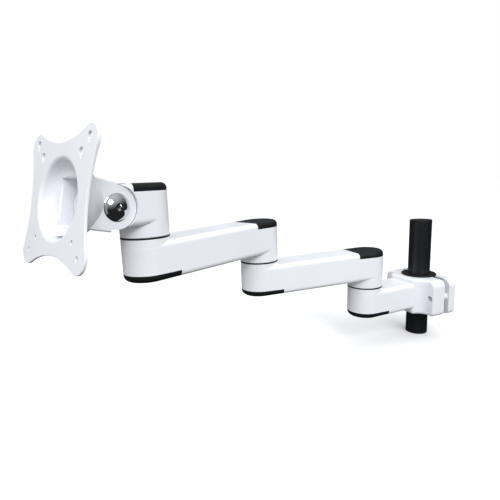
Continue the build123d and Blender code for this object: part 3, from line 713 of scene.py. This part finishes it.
def dome_bolt(size, tree):
    """Dome-headed bolt along Z with a hexagon socket, its head seated on the ear."""
    radius, reach, dome = size.tilt_radius, size.ear_reach, size.dome_radius
    end = -reach - size.tilt_tail
    thread_top = -reach - size.tilt_washer
    core = radius - THREAD_DEPTH * size.tilt_pitch
    chamfer = 0.7 * MM
    rim_width, rim_rise = 0.35 * MM, 0.5 * MM
    rings = [
        (end, None), (end, round_ring(core - chamfer)), (end + chamfer, round_ring(core)),
        (thread_top, round_ring(core)), (thread_top + chamfer, round_ring(radius)),
        (reach, round_ring(radius)), (reach, round_ring(dome - rim_width)),
    ]
    rings += rounded_rim(dome - rim_width, reach, rim_width, rim_rise)
    sphere = (dome ** 2 + size.dome_height ** 2) / (2 * size.dome_height)
    centre = reach + size.dome_height - sphere
    flats = size.dome_socket
    corner = corner_of(flats)
    mouth = corner + 0.5 * MM
    for step in range(1, DOME_STEPS + 1):
        ring = dome + (mouth - dome) * step / DOME_STEPS
        height = centre + sqrt(sphere ** 2 - ring ** 2)
        if height > reach + rim_rise:
            rings.append((height, round_ring(ring)))
    top = centre + sqrt(sphere ** 2 - corner ** 2)
    floor = reach + size.dome_height - size.dome_socket_depth
    rings += [
        (top - 0.25 * MM, hexagon_ring(flats + 0.1 * MM, corner + 0.1 * MM)),
        (top - 0.6 * MM, hexagon_ring(flats, corner)), (floor, hexagon_ring(flats, corner)),
        (floor - 0.2 * MM, round_ring(0.8 * flats)), (floor - 1.2 * MM, None),
    ]
    bolt = bmesh.new()
    turn(bolt, rings)
    values = {
        "Radius": core, "Pitch": size.tilt_pitch, "Length": thread_top - end - 2 * chamfer,
        "Material": finish("chrome"),
    }
    join_grown(bolt, tree, values, Matrix.Translation((0, 0, end + chamfer)))
    return bolt


class ARM_OT_clamp_screws(bpy.types.Operator):
    """Makes the two knurled socket-head screws of the clamp"""

    bl_idname = "monitor_arm.clamp_screws"
    bl_label = "Clamp screws"

    def execute(self, context):
        size = settings().fastener
        low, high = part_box("clamp_screws")
        screw = socket_screw(size, low.x, high.x)
        pair = bmesh.new()
        for side in (low.y + size.clamp_head_radius, high.y - size.clamp_head_radius):
            placed = screw.copy()
            level = Matrix.Translation((0, side, (low.z + high.z) / 2))
            placed.transform(level @ Matrix.Rotation(pi / 2, 4, "Y"))
            pair.from_mesh(placed)
            bpy.data.meshes.remove(placed)
        bpy.data.meshes.remove(screw)
        rest = Matrix.Identity(4)
        made_piece("clamp_socket_screws", pair, [finish("zinc")], rest, "clamp", "clamp_screws")
        return {"FINISHED"}


def socket_screw(size, start, end):
    """Mesh of one socket-head screw along Z from start to end, its head at the end."""
    radius, flats = size.clamp_radius, size.clamp_socket
    core = radius - THREAD_DEPTH * size.clamp_pitch
    corner = corner_of(flats)
    head_low = end - size.clamp_head
    thread_top = start + size.clamp_thread
    skin = size.clamp_head_radius - 0.3 * MM   # the knurl stands on this
    chamfer, edge, crown = 0.6 * MM, 0.4 * MM, 0.9 * MM
    screw = bmesh.new()
    turn(screw, [
        (start, None), (start, round_ring(core - chamfer)), (start + chamfer, round_ring(core)),
        (thread_top, round_ring(core)), (thread_top + chamfer, round_ring(radius)),
        (head_low, round_ring(radius)), (head_low, round_ring(skin - edge)),
        (head_low + edge, round_ring(skin)), (end - crown, round_ring(skin)),
        (end - 0.3 * MM, round_ring(skin - 0.25 * MM)), (end, round_ring(skin - crown)),
        (end, round_ring(corner + 0.5 * MM)), (end - edge, hexagon_ring(flats, corner)),
        (end - size.clamp_socket_depth, hexagon_ring(flats, corner)),
        (end - size.clamp_socket_depth - crown, None),
    ])
    knurl = {
        "Radius": skin, "Count": size.knurl_count, "Height": 0.7 * size.clamp_head, "Ridge": 0.26 * MM,
        "Material": finish("zinc"),
    }
    join_grown(screw, knurl_tree(), knurl, Matrix.Translation((0, 0, (head_low + end) / 2 - 0.5 * MM)))
    thread = {
        "Radius": core, "Pitch": size.clamp_pitch, "Length": size.clamp_thread - 2 * MM,
        "Material": finish("zinc"),
    }
    join_grown(screw, thread_tree(), thread, Matrix.Translation((0, 0, start + chamfer)))
    mesh = bpy.data.meshes.new("socket_screw")
    screw.to_mesh(mesh)
    screw.free()
    return mesh


class ARM_OT_studio(bpy.types.Operator):
    """Sets up the floor, the light and the camera"""

    bl_idname = "monitor_arm.studio"
    bl_label = "Studio"

    def execute(self, context):
        look = settings().studio
        make_floor(look)
        make_sky(look)
        make_softbox(look)
        make_camera()
        context.scene.view_settings.view_transform = "Standard"
        return {"FINISHED"}


def make_floor(look):
    """Wide sheet of paper that the pole stands on. It throws no light back on the arm."""
    half_width = 9.0
    below_pole = 0.2 * MM
    data = bmesh.new()
    bmesh.ops.create_grid(data, x_segments=8, y_segments=8, size=half_width)
    mesh = bpy.data.meshes.new("floor")
    data.to_mesh(mesh)
    data.free()
    mesh.transform(Matrix.Translation((0, 0, CAD_BOX[0].z - below_pole)))
    mesh.materials.append(seamless_paper("white_background_paper", look.floor))
    floor = bpy.data.objects.new("floor", mesh)
    bpy.context.scene.collection.objects.link(floor)
    floor.visible_diffuse = False
    floor.visible_glossy = False


def make_sky(look):
    """White dome that fades away from its brightest part near the zenith. Reflections see it dimmer still."""
    world = bpy.data.worlds.new("studio_dome")
    bpy.context.scene.world = world
    world.use_nodes = True
    tree = world.node_tree
    tree.nodes.clear()
    direction = add(tree, "ShaderNodeTexCoord").outputs["Generated"]
    brightest = (-0.20, -0.12, 0.97)
    facing = add(
        tree, "ShaderNodeVectorMath", {0: direction, 1: brightest}, operation="DOT_PRODUCT",
    ).outputs["Value"]
    ray = add(tree, "ShaderNodeLightPath").outputs
    lit = fading_light(
        tree, look, facing, dark_at=-0.30, full_at=0.50, darkest=look.ground, brightest=look.sky,
    )
    mirrored = fading_light(
        tree, look, facing, dark_at=-0.15, full_at=0.90, darkest=0.02, brightest=look.gloss,
    )
    paper = add(tree, "ShaderNodeBackground", {"Color": (*look.backdrop, 1), "Strength": 1}).outputs[0]
    light = add(tree, "ShaderNodeMixShader", {0: ray["Is Glossy Ray"], 1: lit, 2: mirrored}).outputs[0]
    mixed = add(tree, "ShaderNodeMixShader", {0: ray["Is Camera Ray"], 1: light, 2: paper}).outputs[0]
    add(tree, "ShaderNodeOutputWorld", {"Surface": mixed})


def fading_light(tree, look, facing, dark_at, full_at, darkest, brightest):
    """Light that grows from its darkest to its brightest as a direction turns to the sky's brightest part."""
    strength = add(tree, "ShaderNodeMapRange", {
        "Value": facing, "From Min": dark_at, "From Max": full_at, "To Min": darkest, "To Max": brightest,
    }, interpolation_type="SMOOTHSTEP").outputs["Result"]
    return add(tree, "ShaderNodeBackground", {"Color": (*look.sky_tint, 1), "Strength": strength}).outputs[0]


def make_softbox(look):
    """Round softbox in front of the arm and a little to the screen's side, aimed at the arm's middle."""
    place, aim = Vector((-0.45, -1.75, 1.45)), Vector((-0.25, 0, 0.17))
    data = bpy.data.lights.new("key_softbox", "AREA")
    data.shape = "DISK"
    data.size = 1.0
    data.energy = look.key
    softbox = bpy.data.objects.new("key_softbox", data)
    softbox.location = place
    softbox.rotation_mode = "QUATERNION"
    softbox.rotation_quaternion = (aim - place).to_track_quat("-Z", "Y")
    bpy.context.scene.collection.objects.link(softbox)


def make_camera():
    """Close wide view from the screen's side, a little above the arm."""
    place = (-0.51891, -0.48115, 0.27377)
    yaw, pitch, roll = radians(22.984), radians(10.391), radians(2.069)
    ahead = Vector((sin(yaw) * cos(pitch), cos(yaw) * cos(pitch), -sin(pitch)))
    level = Vector((cos(yaw), -sin(yaw), 0))
    down = ahead.cross(level)
    right = cos(roll) * level + sin(roll) * down
    up = sin(roll) * level - cos(roll) * down
    data = bpy.data.cameras.new("camera")
    data.sensor_width = 36
    data.lens = 27.708
    camera = bpy.data.objects.new("camera", data)
    turned = Matrix((right, up, -ahead)).transposed().to_4x4()
    camera.matrix_world = Matrix.Translation(place) @ turned
    bpy.context.scene.collection.objects.link(camera)
    bpy.context.scene.camera = camera


# ------------------------------------------------------------------ panel

OPERATORS = (
    ARM_OT_castings, ARM_OT_mouldings, ARM_OT_pole, ARM_OT_bearings, ARM_OT_pivot_bolts, ARM_OT_tilt_pivot,
    ARM_OT_clamp_screws, ARM_OT_studio,
)


class ARM_PT_panel(bpy.types.Panel):
    """Monitor arm tools"""

    bl_label = "Monitor Arm"
    bl_idname = "ARM_PT_panel"
    bl_space_type = "VIEW_3D"
    bl_region_type = "UI"
    bl_category = "Monitor Arm"

    def draw(self, context):
        for operator in OPERATORS:
            self.layout.operator(operator.bl_idname)
        arm = settings()
        for group in (arm.finish, arm.fastener, arm.studio):
            box = self.layout.box()
            for label in group.__annotations__:
                box.prop(group, label)


CLASSES = (FinishSettings, FastenerSettings, StudioSettings, ArmSettings, *OPERATORS, ARM_PT_panel)


def register():
    for item in CLASSES:
        bpy.utils.register_class(item)
    bpy.types.Scene.monitor_arm = bpy.props.PointerProperty(type=ArmSettings)


def unregister():
    del bpy.types.Scene.monitor_arm
    for item in reversed(CLASSES):
        bpy.utils.unregister_class(item)


def main():
    """Builds every piece and the studio."""
    register()
    for operator in OPERATORS:
        group, name = operator.bl_idname.split(".")
        getattr(getattr(bpy.ops, group), name)()


if __name__ == "__main__":
    main()
